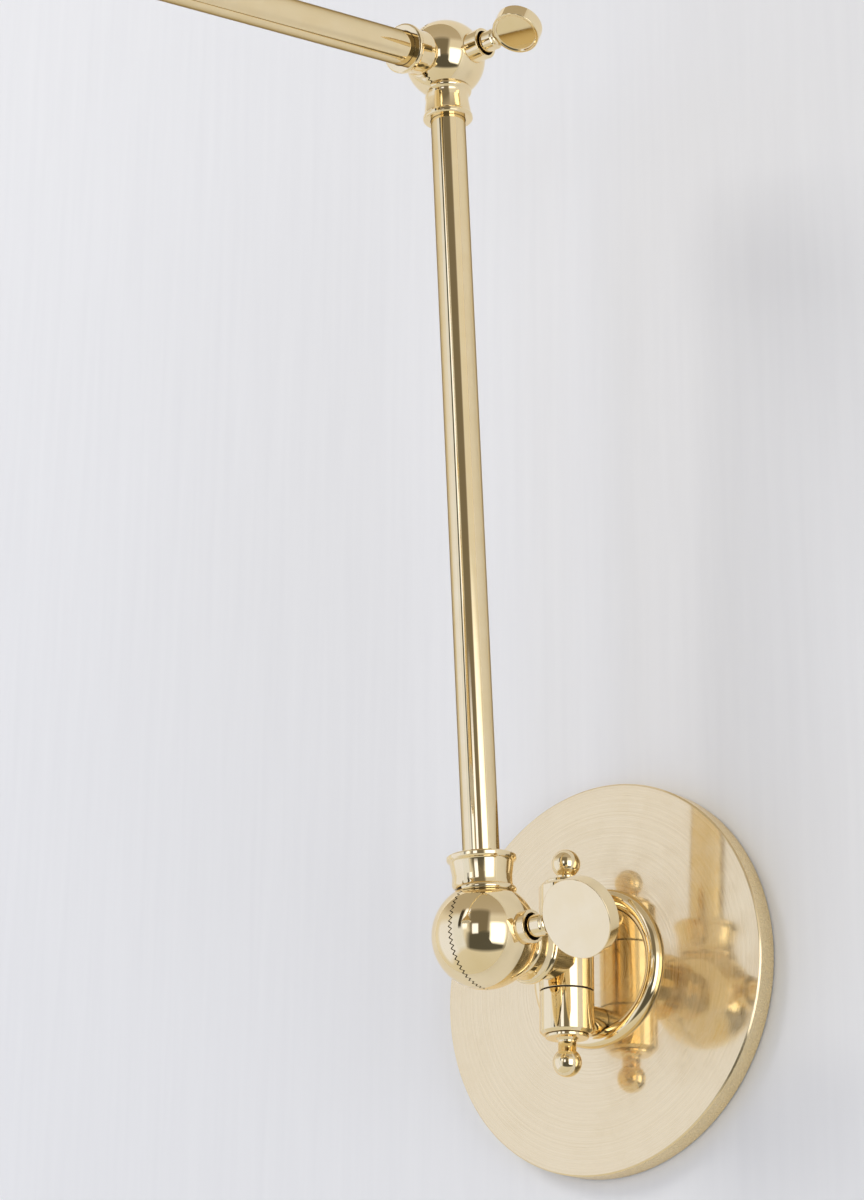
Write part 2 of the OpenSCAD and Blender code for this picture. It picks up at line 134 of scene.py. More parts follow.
def segment_normals(points):
    """For each segment of an outline, its normal at its start and at its end."""
    flat = []
    n = len(points)
    for i in range(n):
        p, q = points[i], points[(i + 1) % n]
        d = Vector((q[0] - p[0], q[1] - p[1]))
        flat.append(Vector((d.y, -d.x)).normalized() if d.length > 1e-9 else Vector((1, 0)))
    made = []
    for i in range(n):
        ends = []
        for k, other in ((i, i - 1), ((i + 1) % n, (i + 1) % n)):
            known = points[k]
            if known[2] is not None and Vector(known[2:4]).dot(flat[i]) > 0.5:
                ends.append(Vector(known[2:4]))
            elif known[2] is None and flat[i].dot(flat[other]) > 0.93:
                ends.append((flat[i] + flat[other]).normalized())
            else:
                ends.append(flat[i])
        made.append(ends)
    return made


def lathe(name, profile, place, materials, steps=STEPS, inner=(), toothed=()):
    """A closed turned solid. profile is an outline, or a function that gives the outline at an angle.
    inner names the segments that take the second material, and toothed those that stay flat."""
    at_angle = profile if callable(profile) else (lambda angle: profile)
    rings = [at_angle(math.tau * j / steps) for j in range(steps)]
    first = rings[0]
    rows = len(first)
    vertices, index = [], []
    for i in range(rows):
        if first[i][0] < 1e-6:
            vertices.append(Vector((0, 0, first[i][1])))
            index.append([len(vertices) - 1] * steps)
            continue
        row = []
        for j in range(steps):
            r, z = rings[j][i][:2]
            a = math.tau * j / steps
            vertices.append(Vector((r * math.cos(a), r * math.sin(a), z)))
            row.append(len(vertices) - 1)
        index.append(row)
    normals_of = {id(ring): segment_normals(ring) for ring in rings}
    faces, shades, slots = [], [], []
    rotation = place.to_3x3()
    for i in range(rows):
        k = (i + 1) % rows
        if first[i][0] < 1e-6 and first[k][0] < 1e-6:
            continue
        for j in range(steps):
            m = (j + 1) % steps
            near, far = normals_of[id(rings[j])][i], normals_of[id(rings[m])][i]
            corners = [(i, j, near[0]), (i, m, far[0]), (k, m, far[1]), (k, j, near[1])]
            used = []
            for row, column, normal in corners:
                vertex = index[row][column]
                if vertex not in [u[0] for u in used]:
                    used.append((vertex, column, normal))
            faces.append([u[0] for u in used])
            slots.append(1 if i in inner else 0)
            for vertex, column, normal in used:
                a = math.tau * column / steps
                turned = Vector((normal.x * math.cos(a), normal.x * math.sin(a), normal.y))
                shades.append(None if i in toothed else turned)
    mesh = bpy.data.meshes.new(name)
    mesh.from_pydata([place @ v * 0.001 for v in vertices], [], faces)
    kept = mesh.attributes.new("turned", "FLOAT_VECTOR", "POINT")
    kept.data.foreach_set("vector", [c for v in vertices for c in v])
    for material in materials:
        mesh.materials.append(material)
    mesh.polygons.foreach_set("material_index", [min(s, len(materials) - 1) for s in slots])
    mesh.polygons.foreach_set("use_smooth", [True] * len(faces))
    mesh.update()
    loop_normals = []
    at = 0
    for face in mesh.polygons:
        for _ in face.vertices:
            shade = shades[at]
            loop_normals.append(face.normal if shade is None else rotation @ shade)
            at += 1
    mesh.normals_split_custom_set([n[:] for n in loop_normals])
    made = bpy.data.objects.new(name, mesh)
    bpy.context.scene.collection.objects.link(made)
    return made


def frame_along(centre, direction, across=None):
    """Matrix of a local frame at centre whose Z runs along direction."""
    z = direction.normalized()
    x = (across or (X if abs(z.x) < 0.9 else Y)).copy()
    x = (x - z * x.dot(z)).normalized()
    y = z.cross(x)
    made = Matrix((x, y, z)).transposed().to_4x4()
    made.translation = centre
    return made


def piece(made, body, slot, *stands_for):
    """Puts a piece on its body and hides the CAD nodes it stands for."""
    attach(made, body)
    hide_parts(*stands_for)
    return made


# ---------------------------------------------------------------- materials


class Shader:
    """A node material under construction."""

    def __init__(self, name):
        self.material = bpy.data.materials.new(name)
        self.material.use_nodes = True
        self.tree = self.material.node_tree
        self.nodes = self.tree.nodes
        self.body = self.nodes["Principled BSDF"]

    def add(self, kind, settings=None, **inputs):
        made = self.nodes.new(kind)
        for key, value in (settings or {}).items():
            setattr(made, key, value)
        for key, value in inputs.items():
            self.put(made.inputs[key.replace("_", " ")], value)
        return made

    def put(self, socket, value):
        if isinstance(value, bpy.types.NodeSocket):
            self.tree.links.new(value, socket)
        else:
            socket.default_value = value

    def math(self, operation, a, b=0.0):
        made = self.nodes.new("ShaderNodeMath")
        made.operation = operation
        self.put(made.inputs[0], a)
        self.put(made.inputs[1], b)
        return made.outputs[0]

    def spread(self, value, low, high, to_low, to_high):
        """value, from low to high, carried to the range to_low to to_high."""
        made = self.add("ShaderNodeMapRange")
        for socket, v in zip(made.inputs, (value, low, high, to_low, to_high)):
            self.put(socket, v)
        return made.outputs[0]

    def noise(self, where, scale, detail=3.0, roughness=0.5):
        made = self.add("ShaderNodeTexNoise", Scale=scale, Detail=detail, Roughness=roughness, Vector=where)
        return made.outputs["Fac"]

    def mix(self, share, a, b):
        made = self.nodes.new("ShaderNodeMix")
        made.data_type = "RGBA"
        self.put(made.inputs[0], share)
        self.put(made.inputs[6], a)
        self.put(made.inputs[7], b)
        return made.outputs[2]

    def bump(self, height, distance, strength=1.0, below=None):
        made = self.add("ShaderNodeBump", Height=height, Distance=distance, Strength=strength)
        if below is not None:
            self.put(made.inputs["Normal"], below)
        return made.outputs["Normal"]

    def turned(self):
        """The place on a turned piece, in millimetres in its own frame, as (vector, radius, height)."""
        where = self.add("ShaderNodeAttribute", {"attribute_name": "turned"}).outputs["Vector"]
        parts = self.add("ShaderNodeSeparateXYZ", Vector=where)
        xx = self.math("MULTIPLY", parts.outputs[0], parts.outputs[0])
        yy = self.math("MULTIPLY", parts.outputs[1], parts.outputs[1])
        return where, self.math("SQRT", self.math("ADD", xx, yy)), parts.outputs[2]

    def painted_crevice_shade(self, reach):
        """Painted shade from ambient occlusion: 1 in the open and less in a crevice, over reach metres."""
        made = self.add("ShaderNodeAmbientOcclusion", {"samples": 6}, Distance=reach)
        return made.outputs["AO"]


# colour of the painted shade in crevices, mixed in where ambient occlusion finds them
CREVICE_SHADE_BRASS = (0.10, 0.055, 0.018, 1)


def polished_brass(name, edge=(1.0, 0.93, 0.80, 1), rough=0.04, marks=0.4, coat=0.35):
    """Turned, polished and lacquered brass with faint tool marks, wiping haze and painted shade darkening the
    joints.
    """
    s = Shader(name)
    where, radius, height = s.turned()
    across = s.add("ShaderNodeCombineXYZ", X=s.math("MULTIPLY", radius, 9.0),
                   Y=s.math("MULTIPLY", height, 9.0))
    rings = s.noise(across.outputs[0], 1.0, 2.0)
    haze = s.noise(where, 0.11, 4.0)
    wiping = s.noise(where, 0.9, 5.0, 0.7)
    tone = s.mix(s.spread(haze, 0.35, 0.65, 0.0, 1.0),
                 (0.93, 0.77, 0.48, 1), (0.91, 0.74, 0.44, 1))
    # painted shade: where ambient occlusion finds a crevice the brass turns dark and dull
    unshaded_share = s.spread(s.painted_crevice_shade(0.0012), 0.28, 0.62, 0.0, 1.0)
    s.put(s.body.inputs["Base Color"], s.mix(unshaded_share, CREVICE_SHADE_BRASS, tone))
    worn = s.spread(wiping, 0.3, 0.75, rough * 0.75, rough * 1.5)
    s.put(s.body.inputs["Roughness"], s.spread(unshaded_share, 0.0, 1.0, 0.45, worn))
    s.put(s.body.inputs["Metallic"], 1.0)
    s.put(s.body.inputs["Specular Tint"], edge)
    s.put(s.body.inputs["Coat Weight"], coat)
    s.put(s.body.inputs["Coat Roughness"], 0.03)
    turning = s.bump(rings, 0.0000012, marks)
    s.put(s.body.inputs["Normal"], s.bump(wiping, 0.000004, 0.35, turning))
    return s.material


def satin_plate():
    """The plate's face: fine circular brushing under lacquer, half a mirror."""
    s = Shader("satin plate")
    where, radius, _ = s.turned()
    fine = s.add("ShaderNodeCombineXYZ", X=s.math("MULTIPLY", radius, 16.0))
    coarse = s.add("ShaderNodeCombineXYZ", X=s.math("MULTIPLY", radius, 1.7))
    slow = s.noise(where, 0.035, 3.0)
    fine_rings = s.noise(fine.outputs[0], 1.0, 2.0)
    coarse_rings = s.noise(coarse.outputs[0], 1.0, 2.0)
    haze = s.noise(where, 0.12, 4.0)
    tone = s.mix(s.spread(coarse_rings, 0.3, 0.7, 0.0, 1.0),
                 (0.86, 0.69, 0.41, 1), (0.91, 0.745, 0.46, 1))
    # painted shade: where ambient occlusion finds a crevice the plate turns dark
    unshaded_share = s.spread(s.painted_crevice_shade(0.0015), 0.25, 0.6, 0.0, 1.0)
    s.put(s.body.inputs["Base Color"], s.mix(unshaded_share, CREVICE_SHADE_BRASS, tone))
    # the brushing leaves fine rings of mirror between fine rings of matt
    patchy = s.math("MULTIPLY", s.math("ADD", haze, slow), 0.12)
    matt = s.spread(s.math("ADD", fine_rings, patchy), 0.61, 0.69, 0.0, 1.0)
    s.put(s.body.inputs["Roughness"], s.spread(matt, 0.0, 1.0, 0.05, 0.50))
    s.put(s.body.inputs["Metallic"], 1.0)
    s.put(s.body.inputs["Specular Tint"], (1.0, 0.93, 0.80, 1))
    s.put(s.body.inputs["Coat Weight"], 0.4)
    s.put(s.body.inputs["Coat Roughness"], 0.06)
    brushed = s.bump(fine_rings, 0.0000022, 0.6)
    s.put(s.body.inputs["Normal"], s.bump(coarse_rings, 0.00001, 0.25, brushed))
    return s.material


def shaded_recess_brass():
    """Brass inside the toothed joints, dulled, and painted near black as the shade that falls in the seams.
    """
    s = Shader("recess brass")
    where, _, _ = s.turned()
    grain = s.noise(where, 1.3, 5.0, 0.65)
    tone = s.mix(s.spread(grain, 0.3, 0.7, 0.0, 1.0), (0.035, 0.022, 0.010, 1), (0.13, 0.082, 0.034, 1))
    s.put(s.body.inputs["Base Color"], tone)
    s.put(s.body.inputs["Roughness"], s.spread(grain, 0.3, 0.7, 0.65, 0.4))
    s.put(s.body.inputs["Metallic"], 0.6)
    s.put(s.body.inputs["Normal"], s.bump(grain, 0.00002, 0.6))
    return s.material


def plain_metal(name, low, high, rough, scale=160.0):
    """Plated metal of a hidden piece, mottled between two tones."""
    s = Shader(name)
    where = s.add("ShaderNodeTexCoord").outputs["Object"]
    grain = s.noise(where, scale, 5.0, 0.6)
    s.put(s.body.inputs["Base Color"], s.mix(s.spread(grain, 0.35, 0.65, 0.0, 1.0), low, high))
    s.put(s.body.inputs["Roughness"], s.spread(grain, 0.3, 0.7, rough * 0.8, rough * 1.25))
    s.put(s.body.inputs["Metallic"], 1.0)
    s.put(s.body.inputs["Normal"], s.bump(grain, 0.00001, 0.4))
    return s.material


def plain_coat(name, low, high, rough, scale=140.0, depth=0.00001, coat=0.0):
    """Paint, plastic, cable sheath or glaze: two close tones and a fine uneven skin."""
    s = Shader(name)
    where = s.add("ShaderNodeTexCoord").outputs["Object"]
    grain = s.noise(where, scale, 4.0, 0.55)
    s.put(s.body.inputs["Base Color"], s.mix(s.spread(grain, 0.3, 0.7, 0.0, 1.0), low, high))
    s.put(s.body.inputs["Roughness"], s.spread(grain, 0.3, 0.7, rough * 0.85, rough * 1.2))
    s.put(s.body.inputs["Coat Weight"], coat)
    s.put(s.body.inputs["Normal"], s.bump(grain, depth, 0.5))
    return s.material


def frosted_glass():
    """The bulb's globe: glass, frosted on the inside."""
    s = Shader("frosted glass")
    where, _, _ = s.turned()
    grain = s.noise(where, 0.5, 4.0, 0.6)
    tone = s.mix(s.spread(grain, 0.3, 0.7, 0.0, 1.0), (0.93, 0.93, 0.91, 1), (0.97, 0.97, 0.95, 1))
    s.put(s.body.inputs["Base Color"], tone)
    s.put(s.body.inputs["Roughness"], s.spread(grain, 0.3, 0.7, 0.30, 0.42))
    s.put(s.body.inputs["Transmission Weight"], 0.55)
    s.put(s.body.inputs["Coat Weight"], 1.0)
    s.put(s.body.inputs["Coat Roughness"], 0.04)
    return s.material


def wall_paint():
    """The pale wall, with a faint upright grain. It is seen through from behind."""
    s = Shader("wall paint")
    where = s.add("ShaderNodeTexCoord").outputs["Object"]
    upright = s.add("ShaderNodeMapping", Vector=where)
    upright.inputs["Scale"].default_value = (220.0, 1.0, 9.0)
    grain = s.noise(upright.outputs[0], 1.0, 4.0, 0.6)
    slow = s.noise(where, 3.0, 2.0)
    both = s.math("ADD", s.math("MULTIPLY", grain, 0.7), s.math("MULTIPLY", slow, 0.3))
    tone = s.mix(s.spread(both, 0.35, 0.65, 0.0, 1.0), (0.890, 0.882, 0.860, 1), (0.918, 0.910, 0.885, 1))
    s.put(s.body.inputs["Base Color"], tone)
    s.put(s.body.inputs["Roughness"], 0.75)
    s.put(s.body.inputs["Specular IOR Level"], 0.3)
    s.put(s.body.inputs["Normal"], s.bump(grain, 0.00005, 0.3))
    clear = s.add("ShaderNodeBsdfTransparent").outputs[0]
    back = s.add("ShaderNodeNewGeometry").outputs["Backfacing"]
    shown = s.add("ShaderNodeMixShader")
    s.put(shown.inputs[0], back)
    s.put(shown.inputs[1], s.body.outputs[0])
    s.put(shown.inputs[2], clear)
    s.put(s.nodes["Material Output"].inputs["Surface"], shown.outputs[0])
    return s.material


brass = polished_brass("polished brass")
# painted dark reflection: the dark edge tint darkens the tube's grazing reflections, standing in for the dark
# lines along its edges
tube_brass = polished_brass("tube brass", edge=(0.30, 0.22, 0.13, 1), rough=0.03, marks=0.1, coat=0.0)
satin = satin_plate()
rim_brass = polished_brass("rim brass", rough=0.26, marks=1.6)
# near-black brass that paints the shade in the knuckles' seams and the ferrules' bores
shaded_recess = shaded_recess_brass()


# ---------------------------------------------------------------- wall plate and barrel


def wall_plate():
    low, high = box("backplate")
    face_r, depth = high.x, -low.y
    rim, face = 4, 3
    bottom = [(face_r - rim, 0), (face_r - 0.3, 0, 0.25), (face_r, 0.3, 0.25)]
    top = [(face_r, depth - 0.55, 0.3), (face_r - 0.55, depth, 0.3), (0, depth)]
    back = [(0, depth - face), (face_r - rim, depth - face, 0.5)]
    points = outline(bottom + top + back)
    side = {i for i, p in enumerate(points) if p[0] > face_r - 0.05 and p[1] < depth - 0.6}
    made = lathe("wall_plate", points, frame_along(Vector(), -Y), [satin, rim_brass], 320, inner=side)
    piece(made, "root", "satin_brass", "backplate")


def plate_trim():
    low, high = box("ring_bead")
    outer, back, height = high.x, -high.y, high.y - low.y
    place = frame_along(Vector((0, -back, HUB.z)), -Y)
    bead = [(outer - height + r, z, nr, nz) for r, z, nr, nz in ball_arc(height, 0, 180, 28)]
    points = outline([(outer - 2 * height, -0.3), (outer, -0.3)] + bead)
    made = lathe("bead_ring", points, place, [brass], 256)
    piece(made, "root", "polished_brass", "ring_bead")
    low, high = box("centre_disc")
    disc_r, face = high.x, -low.y
    points = outline([(0, face - 1.2), (disc_r, face - 1.2), (disc_r, face, 0.15), (0, face)])
    made = lathe("centre_disc_face", points, frame_along(Vector((0, 0, HUB.z)), -Y), [satin], 256)
    piece(made, "root", "polished_brass", "centre_disc")


def studs():
    for name, node in (("top_stud", "stud_top"), ("bottom_stud", "stud_bottom")):
        low, high = box(node)
        middle = (low.z + high.z) / 2
        radius = high.x
        face = -box("centre_disc")[0].y
        thread = -high.y
        points = outline([(0, thread), (3, thread, 0.3), (3, face + 0.05), (radius, face + 0.05, 0.2),
                          (radius, -HUB.y - 4), (0, -HUB.y - 4)])
        made = lathe(name, points, frame_along(Vector((0, 0, middle)), -Y), [brass])
        piece(made, "root", "polished_brass", node)


def sleeve(name, node, body, chamfered):
    """A sleeve of the barrel. chamfered is 1 for its upper end, -1 for its lower end and 0 for neither."""
    low, high = box(node)
    radius = high.x
    bore = 4.9
    base, top = low.z - HUB.z, high.z - HUB.z
    lower = [(bore, base), (radius - 0.12, base, 0.1), (radius, base + 0.12, 0.1)]
    upper = [(radius, top - 0.12, 0.1), (radius - 0.12, top, 0.1), (bore, top)]
    if chamfered < 0:
        lower = [(bore, base), (radius - 1.0, base, 0.2), (radius, base + 1.0, 0.25)]
    if chamfered > 0:
        upper = [(radius, top - 1.0, 0.25), (radius - 1.0, top, 0.2), (bore, top)]
    made = lathe(name, outline(lower + upper), frame_along(HUB, Z), [brass])
    piece(made, body, "polished_brass", node)


def finials():
    low, high = box("cap_washers")
    cap_r = high.x
    for name, node, side in (("top", "finial_top", 1), ("bottom", "finial_bottom", -1)):
        end = (box(node)[1].z - HUB.z) if side > 0 else (HUB.z - box(node)[0].z)
        cap_end = (high.z - HUB.z) if side > 0 else (HUB.z - low.z)
        ball_r = box(node)[1].x
        sleeve_end = box("sleeve_top")[1].z - HUB.z
        place = frame_along(HUB, Z * side)
        neck_r, spigot_r, spigot = 3.2, 3, 5.5
        centre = end - ball_r
        start = -math.degrees(math.acos(neck_r / ball_r))
        stem = outline([(0, sleeve_end - spigot), (spigot_r, sleeve_end - spigot), (spigot_r, cap_end - 0.5),
                        (neck_r + 0.9, cap_end), (neck_r, cap_end + 0.9, 0.7)]
                       + ball_arc(ball_r, start, 90, 36, centre))
        made = lathe(name + "_finial", stem, place, [brass], 128)
        piece(made, "root", "polished_brass", node)
        bore = 3.3
        rim = [(cap_r, sleeve_end, 0.25), (cap_r, cap_end, 0.35)]
        disc = outline([(bore, sleeve_end)] + rim + [(bore, cap_end)])
        cap = lathe(name + "_cap", disc, place, [brass])
        piece(cap, "root", "polished_brass", "cap_washers")


# ---------------------------------------------------------------- knuckles


def half_ball(name, node, body, centre, side, screw_r=3.0, ferrule_r=5.75):
    """One half of a knuckle: a shell whose rim is cut with fine teeth that mesh with the other half's.
    side is 1 for the right half, which is bored for the screw, and -1 for the left."""
    low, high = box(node)
    radius = max(high.z - centre.z, centre.z - low.z)
    depth = 0.46 if radius < 17 else 0.62
    gap, wall, boss_r, boss_z = 0.24, 3.2, 6.2, 0.4
    wave = (-1.0, -0.62, 0.0, 0.62, 1.0, 0.62, 0.0, -0.62)
    steps = TEETH * len(wave)
    wear = random.Random(round(radius))
    uneven = [wear.uniform(-0.05, 0.05) for _ in range(TEETH)]
    place = Matrix((Y, Z, X)).transposed() if side > 0 else Matrix((Z, Y, -X)).transposed()
    place = place.to_4x4()
    place.translation = centre
    spot = math.sqrt(radius ** 2 - ferrule_r ** 2)
    inside = radius - wall
    inside_end = 90 - math.degrees(math.asin(boss_r / inside))
    inside_rows = 14
    # from here up the ball isn't moved by the teeth
    smooth_from = 2.2

    def at_angle(angle):
        column = round(angle / math.tau * steps)
        around = column if side > 0 else (steps // 4 - column) % steps
        tooth = wave[around % len(wave)] * (depth + uneven[(around // len(wave)) % TEETH])
        rim = gap + side * tooth
        points = []
        if side > 0:
            points += [(screw_r + 0.4, boss_z, None, None), (boss_r, boss_z, None, None)]
        else:
            bore_end = radius - 4
            points += [(0, bore_end, None, None), (screw_r + 0.05, bore_end, None, None)]
            points += [(screw_r + 0.05, boss_z, None, None), (boss_r, boss_z, None, None)]
        for k in range(inside_rows + 1):
            a = math.radians(inside_end * (1 - k / inside_rows))
            z = rim if k == inside_rows else inside * math.sin(a)
            r = math.sqrt(inside ** 2 - min(z, inside) ** 2)
            points.append((r, z, -r / inside, -z / inside))
        outer = rim + 0.09
        points.append((math.sqrt(radius ** 2 - outer ** 2) - 0.09, rim, None, None))
        for k in range(9):
            z = outer + (smooth_from - outer) * k / 8
            r = math.sqrt(radius ** 2 - z ** 2)
            points.append((r, z, r / radius, z / radius))
        start = math.degrees(math.asin(smooth_from / radius))
        end = math.degrees(math.asin(spot / radius)) if side > 0 else 90
        points += ball_arc(radius, start, end, 34)[1:]
        if side > 0:
            points += [(screw_r + 0.4, spot, None, None)]
        return points

    first = at_angle(0)
    outer_row = next(i for i, p in enumerate(first) if math.hypot(p[0], p[1]) > radius - 0.001)
    hidden = set(range(outer_row - 1)) | ({len(first) - 1} if side > 0 else set())
    toothed = {outer_row - 2, outer_row - 1}
    # the inner rows and tooth faces take the near-black brass of painted seam shade
    made = lathe(name, at_angle, place, [brass, shaded_recess], steps, inner=hidden, toothed=toothed)
    piece(made, body, "polished_brass", node)
    return radius


def collar_outline(top, ball_r, bead_r, waist_r, flange_r, bore_r, own):
    """Flange, waist and foot of a collar. Over its own half of the ball it is joined by a crisp bead, and
    over the other half it ends in a plain rounded foot with a gap below."""
    hollow = ball_r + (0.02 if own else 0.35)
    foot_r = bead_r - 0.55 if own else waist_r - 1.3
    start = math.degrees(math.acos(bore_r * 0.75 / hollow))
    end = math.degrees(math.acos(foot_r / hollow))
    under = ball_arc(hollow, start, end, 14, 0.0, -1)
    edge = under[-1][1]
    waist_z = ball_r + 2.2
    rows = 26
    side = []
    for k in range(rows):
        t = k / (rows - 1)
        z = edge + (waist_z - edge) * t
        if own:
            bead = max(0.0, 1 - ((z - edge - 1.05) / 1.15) ** 2) ** 0.5
            step = 1 / (1 + math.exp((z - edge - 2.9) * 3))
            r = waist_r + 0.25 * step + (bead_r - waist_r - 0.25) * bead
        else:
            drop = max(0.0, 1 - (z - edge) / 1.9)
            r = waist_r + 0.35 * (1 - t) - 1.65 * (1 - math.sqrt(1 - drop * drop))
        side.append((r, z, None, None))
    above = outline([side[-1][:2], (waist_r + 0.75, top - 2.6, 1.2), (flange_r - 0.35, top - 2.15, 0.25),
                     (flange_r, top - 1.6, 0.35), (flange_r, top - 0.45, 0.45), (flange_r - 0.6, top, 0.3),
                     (bore_r + 0.06, top, 0.12), (bore_r + 0.02, top - 2)])
    return [(bore_r * 0.75, top - 2, None, None)] + under + side + above[1:]


def collar(name, node, body, centre, direction, side, top, sizes):
    """side is 1 where the collar's own half of the ball is the right one, and -1 where it is the left."""
    own = collar_outline(top, *sizes, True)
    other = collar_outline(top, *sizes, False)
    made = lathe(name, lambda angle: own if side * math.cos(angle) > 0.012 else other,
                 frame_along(centre, direction), [brass], 224)
    piece(made, body, "polished_brass", node)


def ferrule(name, node, body, centre):
    low, high = box(node)
    outer = (high.z - low.z) / 2
    base, end = low.x - centre.x, high.x - centre.x
    bore = 4.6
    points = outline([(bore, base), (outer, base, 0.1), (outer, end, 0.28), (bore, end, 0.18)])
    # the bore takes the near-black brass of painted shade
    made = lathe(name, points, frame_along(centre, X), [brass, shaded_recess], 128, inner={len(points) - 1})
    piece(made, body, "polished_brass", node)


def key(name, prefix, body, centre, dish):
    """Thumb key: screw, barrel and round paddle. dish is how deep the paddle's two faces are sunk."""
    low, high = box(prefix + "_paddle")
    radius = (high.x - low.x) / 2
    reach = (high.x + low.x) / 2 - centre.x
    across = facing(prefix + "_paddle")
    half = max(abs((v.co * 1000 - centre).dot(across)) for v in nodes[prefix + "_paddle"].data.vertices)
    low, high = box(prefix + "_screw")
    start = low.x - centre.x
    shank = 3.85
    shoulder = box(prefix.replace("_key", "_ferrule"))[0].x - centre.x + 0.3
    edge = reach - radius
    points = outline([(0, start), (2.6, start, 0.2), (3, start + 0.5), (3, shoulder), (shank, shoulder, 0.2),
                      (shank, edge - 1.7, 0.3), (3.35, edge - 1.2, 0.25), (3.35, edge - 0.5, 0.5),
                      (2.3, edge + 0.15, 0.3), (1.7, edge + 0.5), (1.7, edge + 4), (0, edge + 4)])
    made = lathe(name + "_screw", points, frame_along(centre, X), [brass], 96)
    piece(made, body, "polished_brass", prefix + "_screw")
    rounding = 0.28
    front = [(radius, half, rounding)]
    back = [(radius, -half, rounding)]
    if dish:
        floor = half - dish
        front += [(radius - 0.75, half, 0.3), (radius - 1.35, floor, 0.5), (0, floor)]
        back = [(0, -floor), (radius - 1.35, -floor, 0.5), (radius - 0.75, -half, 0.3)] + back
    else:
        front += [(0, half)]
        back = [(0, -half)] + back
    place = frame_along(centre + X * reach, across, X)
    made = lathe(name + "_paddle", outline(back + front), place, [brass], 192)
    piece(made, body, "polished_brass", prefix + "_paddle")


def tube(name, node, body, start, direction, near, far):
    """Arm tube between two collars, with its ends inside them."""
    outer, inner = 6.35, 5.15
    points = outline([(inner, near), (outer, near, 0.2), (outer, far, 0.2), (inner, far)])
    made = lathe(name, points, frame_along(start, direction), [tube_brass], 160)
    piece(made, body, "polished_brass", node)


def knuckles():
    lower_r = half_ball("lower_ball_left_half", "lower_ball_left", "swivel", LOWER, -1)
    half_ball("lower_ball_right_half", "lower_ball_right", "lower_arm", LOWER, 1)
    upper_r = half_ball("upper_ball_right_half", "upper_ball_right", "lower_arm", UPPER, 1)
    half_ball("upper_ball_left_half", "upper_ball_left", "upper_arm", UPPER, -1)
    half_ball("head_ball_left_half", "head_ball_left", "upper_arm", HEAD, -1)
    half_ball("head_ball_right_half", "head_ball_right", "head", HEAD, 1)
    # radii of the ball, and of its collars' bead, waist, flange and bore
    lower_sizes = (lower_r, 11.6, 10.3, 12.0, 6.35)
    upper_sizes = (upper_r, 9.1, 7.9, 9.1, 6.35)
    # how far the collars' tops stand from the ball's centre
    stub_top = box("stub_collar")[1].y - LOWER.y
    foot_top, top = 27.8, 24.6
    collar("stub_collar_ring", "stub_collar", "swivel", LOWER, HUB - LOWER, -1, stub_top, lower_sizes)
    collar("lower_arm_foot_collar", "lower_arm_foot", "lower_arm", LOWER, LOWER_ARM, 1, foot_top, lower_sizes)
    collar("lower_arm_top_collar", "lower_arm_top", "lower_arm", UPPER, -LOWER_ARM, 1, top, upper_sizes)
    collar("upper_arm_foot_collar", "upper_arm_foot", "upper_arm", UPPER, UPPER_ARM, -1, top, upper_sizes)
    collar("upper_arm_end_collar", "upper_arm_end", "upper_arm", HEAD, -UPPER_ARM, -1, top, upper_sizes)
    collar("head_top_collar", "head_collar", "head", HEAD, -Z, 1, top, upper_sizes)
    seat = 2.52
    near, far = lower_r + seat, (UPPER - LOWER).length - upper_r - seat
    tube("lower_arm_tube", "lower_tube", "lower_arm", LOWER, LOWER_ARM, near, far)
    near, far = upper_r + seat, (HEAD - UPPER).length - upper_r - seat
    tube("upper_arm_tube", "upper_tube", "upper_arm", UPPER, UPPER_ARM, near, far)
    neck_r, lead_r, neck_start = 8.6, 2.8, 5.5
    neck_end = (LOWER - HUB).length - stub_top
    neck = outline([(lead_r, neck_start), (neck_r, neck_start), (neck_r, neck_end), (lead_r, neck_end)])
    made = lathe("stub_neck_barrel", neck, frame_along(HUB, LOWER - HUB), [brass])
    piece(made, "swivel", "polished_brass", "stub_neck")
    ferrule("lower_key_ferrule", "lower_ferrule", "lower_arm", LOWER)
    ferrule("upper_key_ferrule", "upper_ferrule", "lower_arm", UPPER)
    ferrule("head_key_ferrule", "head_ferrule", "head", HEAD)
    key("lower_key", "lower_key", "lower_key", LOWER, 0)
    key("upper_key", "upper_key", "upper_key", UPPER, 0.5)
    key("head_key", "head_key", "head_key", HEAD, 0.5)


# ---------------------------------------------------------------- lamp head


